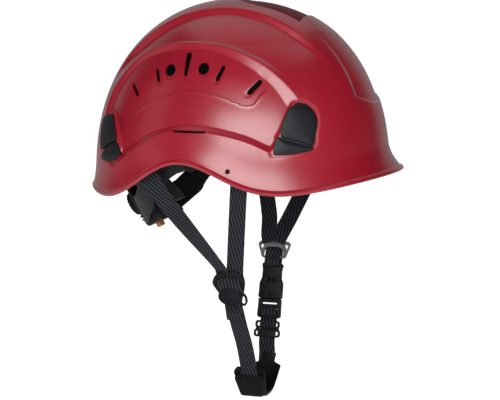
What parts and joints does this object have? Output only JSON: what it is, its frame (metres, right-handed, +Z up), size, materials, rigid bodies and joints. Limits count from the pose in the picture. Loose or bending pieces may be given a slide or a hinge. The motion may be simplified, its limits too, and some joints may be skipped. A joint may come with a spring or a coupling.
{
  "type": "climbing helmet",
  "caption": "Climbing helmet with a moulded vented shell, textile cradle, turning nape adjuster and a buckled chin harness with a chin cup.",
  "frame": {"origin": "centre of the head opening, at the widest level section of the shell", "axes": "+Z up towards the crown, -Y towards the front brim, -X towards the wearer's right"},
  "size_m": [0.226, 0.2737, 0.3514],
  "materials": {
    "shell_red": "moulded, satin gloss",
    "black_plastic": "fine moulded grain",
    "pad_cloth": "knitted cover over foam",
    "webbing": "flat ribbed weave",
    "grey_plastic": "satin",
    "orange_plastic": "satin",
    "steel": "plain",
    "soft_rubber": "matt"
  },
  "bodies": {
    "helmet": {"shell": "shell_red", "lamp_clip_front_left": "black_plastic", "lamp_clip_front_right": "black_plastic", "lamp_clip_rear_left": "black_plastic", "lamp_clip_rear_right": "black_plastic", "vent_mesh_left": "black_plastic", "vent_mesh_right": "black_plastic", "headband": "black_plastic", "sweatband": "pad_cloth", "cradle_strap_front": "webbing", "cradle_strap_middle": "webbing", "cradle_strap_rear": "webbing", "crown_pad": "pad_cloth", "cradle_anchors": "black_plastic", "strap_anchors": "black_plastic", "ear_pivots": "black_plastic", "side_strap_left": "webbing", "side_strap_right": "webbing", "strap_ring": "grey_plastic", "buckle_loop": "webbing", "buckle_female": "black_plastic"},
    "nape_unit": {"nape_housing": "black_plastic", "nape_cover": "black_plastic", "detent_spring": "steel", "housing_screws": "steel", "nape_pad": "pad_cloth", "nape_arm": "black_plastic", "nape_guide_left": "black_plastic", "nape_guide_right": "black_plastic"},
    "knob": {"ratchet_knob": "black_plastic", "ratchet_pinion": "black_plastic"},
    "rack_left": {"nape_strap_left": "black_plastic"},
    "rack_right": {"nape_strap_right": "black_plastic"},
    "tab": {"release_tab": "orange_plastic"},
    "chin": {"strap_divider": "black_plastic", "strap_keeper": "black_plastic", "chin_strap_right": "webbing", "chin_strap_left": "webbing", "chin_cup": "soft_rubber", "buckle_male": "black_plastic"},
    "prong_front": {"buckle_prong_front": "black_plastic"},
    "prong_rear": {"buckle_prong_rear": "black_plastic"},
    "glide": {"tri_glide": "black_plastic"}
  },
  "joints": [
    {"name": "nape_tilt", "type": "hinge", "parent": "helmet", "child": "nape_unit", "pos_m": [0, 0.017, 0.018], "axis": [1, 0, 0], "range_deg": [-5, 6]},
    {"name": "knob_turn", "type": "hinge", "parent": "nape_unit", "child": "knob", "pos_m": [0, 0.017, 0.018], "axis": [0, 0.866, -0.5], "range_deg": [-180, 120]},
    {"name": "rack_left_feed", "type": "hinge", "parent": "nape_unit", "child": "rack_left", "pos_m": [0, 0.017, 0.018], "axis": [0, 0.5, 0.866], "range_deg": [-9.1, 13.6]},
    {"name": "rack_right_feed", "type": "hinge", "parent": "nape_unit", "child": "rack_right", "pos_m": [0, 0.017, 0.018], "axis": [0, 0.5, 0.866], "range_deg": [-13.2, 8.8]},
    {"name": "tab_press", "type": "slide", "parent": "nape_unit", "child": "tab", "axis": [0, 0.5, 0.866], "range_m": [0, 0.0015]},
    {"name": "chin_swing", "type": "hinge", "parent": "helmet", "child": "chin", "pos_m": [-0.058, -0.009, -0.077], "axis": [0, 1, 0], "range_deg": [0, 60]},
    {"name": "prong_front_squeeze", "type": "hinge", "parent": "chin", "child": "prong_front", "pos_m": [0.04428, -0.0212, -0.12032], "axis": [-0.9553, 0, 0.2957], "range_deg": [0, 4.5]},
    {"name": "prong_rear_squeeze", "type": "hinge", "parent": "chin", "child": "prong_rear", "pos_m": [0.04428, -0.0088, -0.12032], "axis": [0.9553, 0, -0.2957], "range_deg": [0, 4.5]},
    {"name": "glide_adjust", "type": "slide", "parent": "chin", "child": "glide", "axis": [-0.2957, 0, -0.9553], "range_m": [-0.002, 0.005]}
  ],
  "couplings": [
    {"joint": "rack_left_feed", "follows": "knob_turn", "ratio": -0.075},
    {"joint": "rack_right_feed", "follows": "knob_turn", "ratio": 0.072639}
  ]
}
